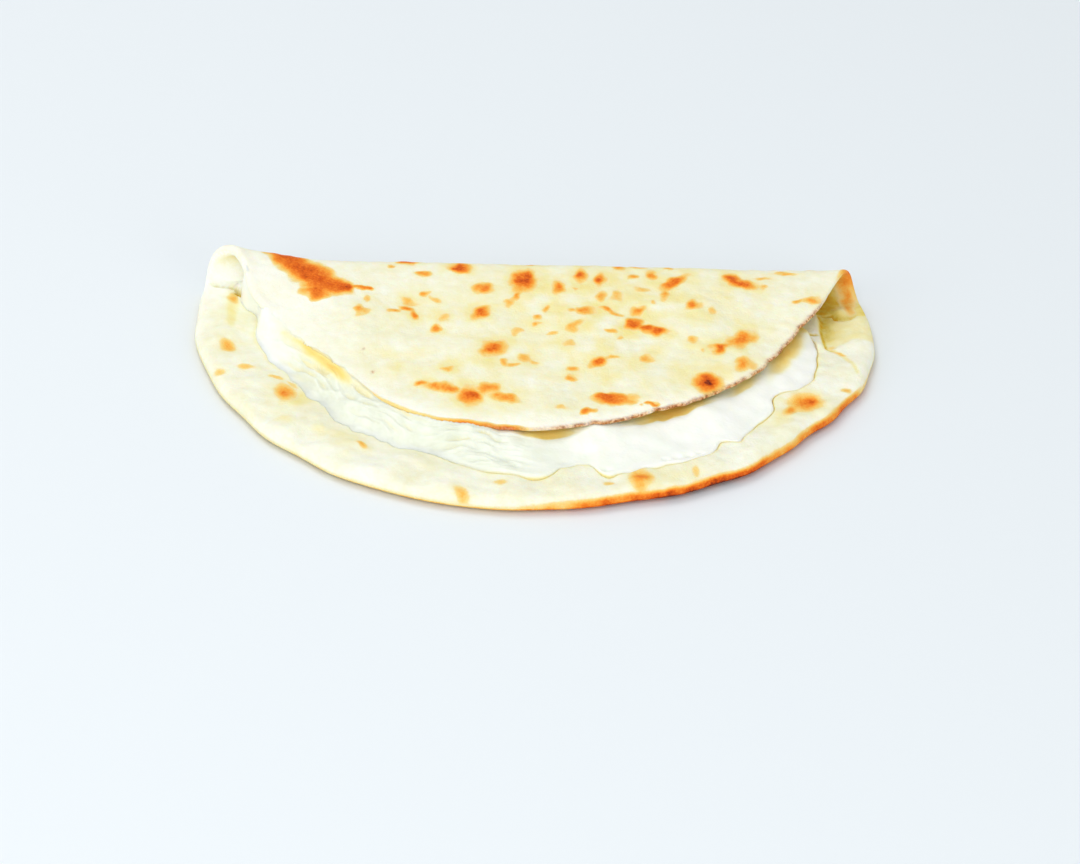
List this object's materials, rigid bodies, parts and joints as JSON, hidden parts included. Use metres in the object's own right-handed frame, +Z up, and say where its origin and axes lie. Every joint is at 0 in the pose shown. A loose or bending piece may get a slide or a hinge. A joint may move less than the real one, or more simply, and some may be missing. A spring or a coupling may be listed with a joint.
{
  "type": "folded flatbread with cheese filling",
  "caption": "Thin round flatbread folded over a layer of white soft cheese, with toasted spots and an open curved front.",
  "frame": {"origin": "under the middle of the whole, on the surface that it lies on", "axes": "+X along the fold, to the right as seen from the open side; +Y towards the fold; +Z up"},
  "size_m": [0.244, 0.1402, 0.0208],
  "materials": {
    "bread": "dry, soft baked dough, pale cream with toasted brown spots",
    "labneh": "moist, smooth white soft cheese"
  },
  "bodies": {
    "root": {"bread": "bread", "labneh": "labneh"}
  },
  "joints": []
}
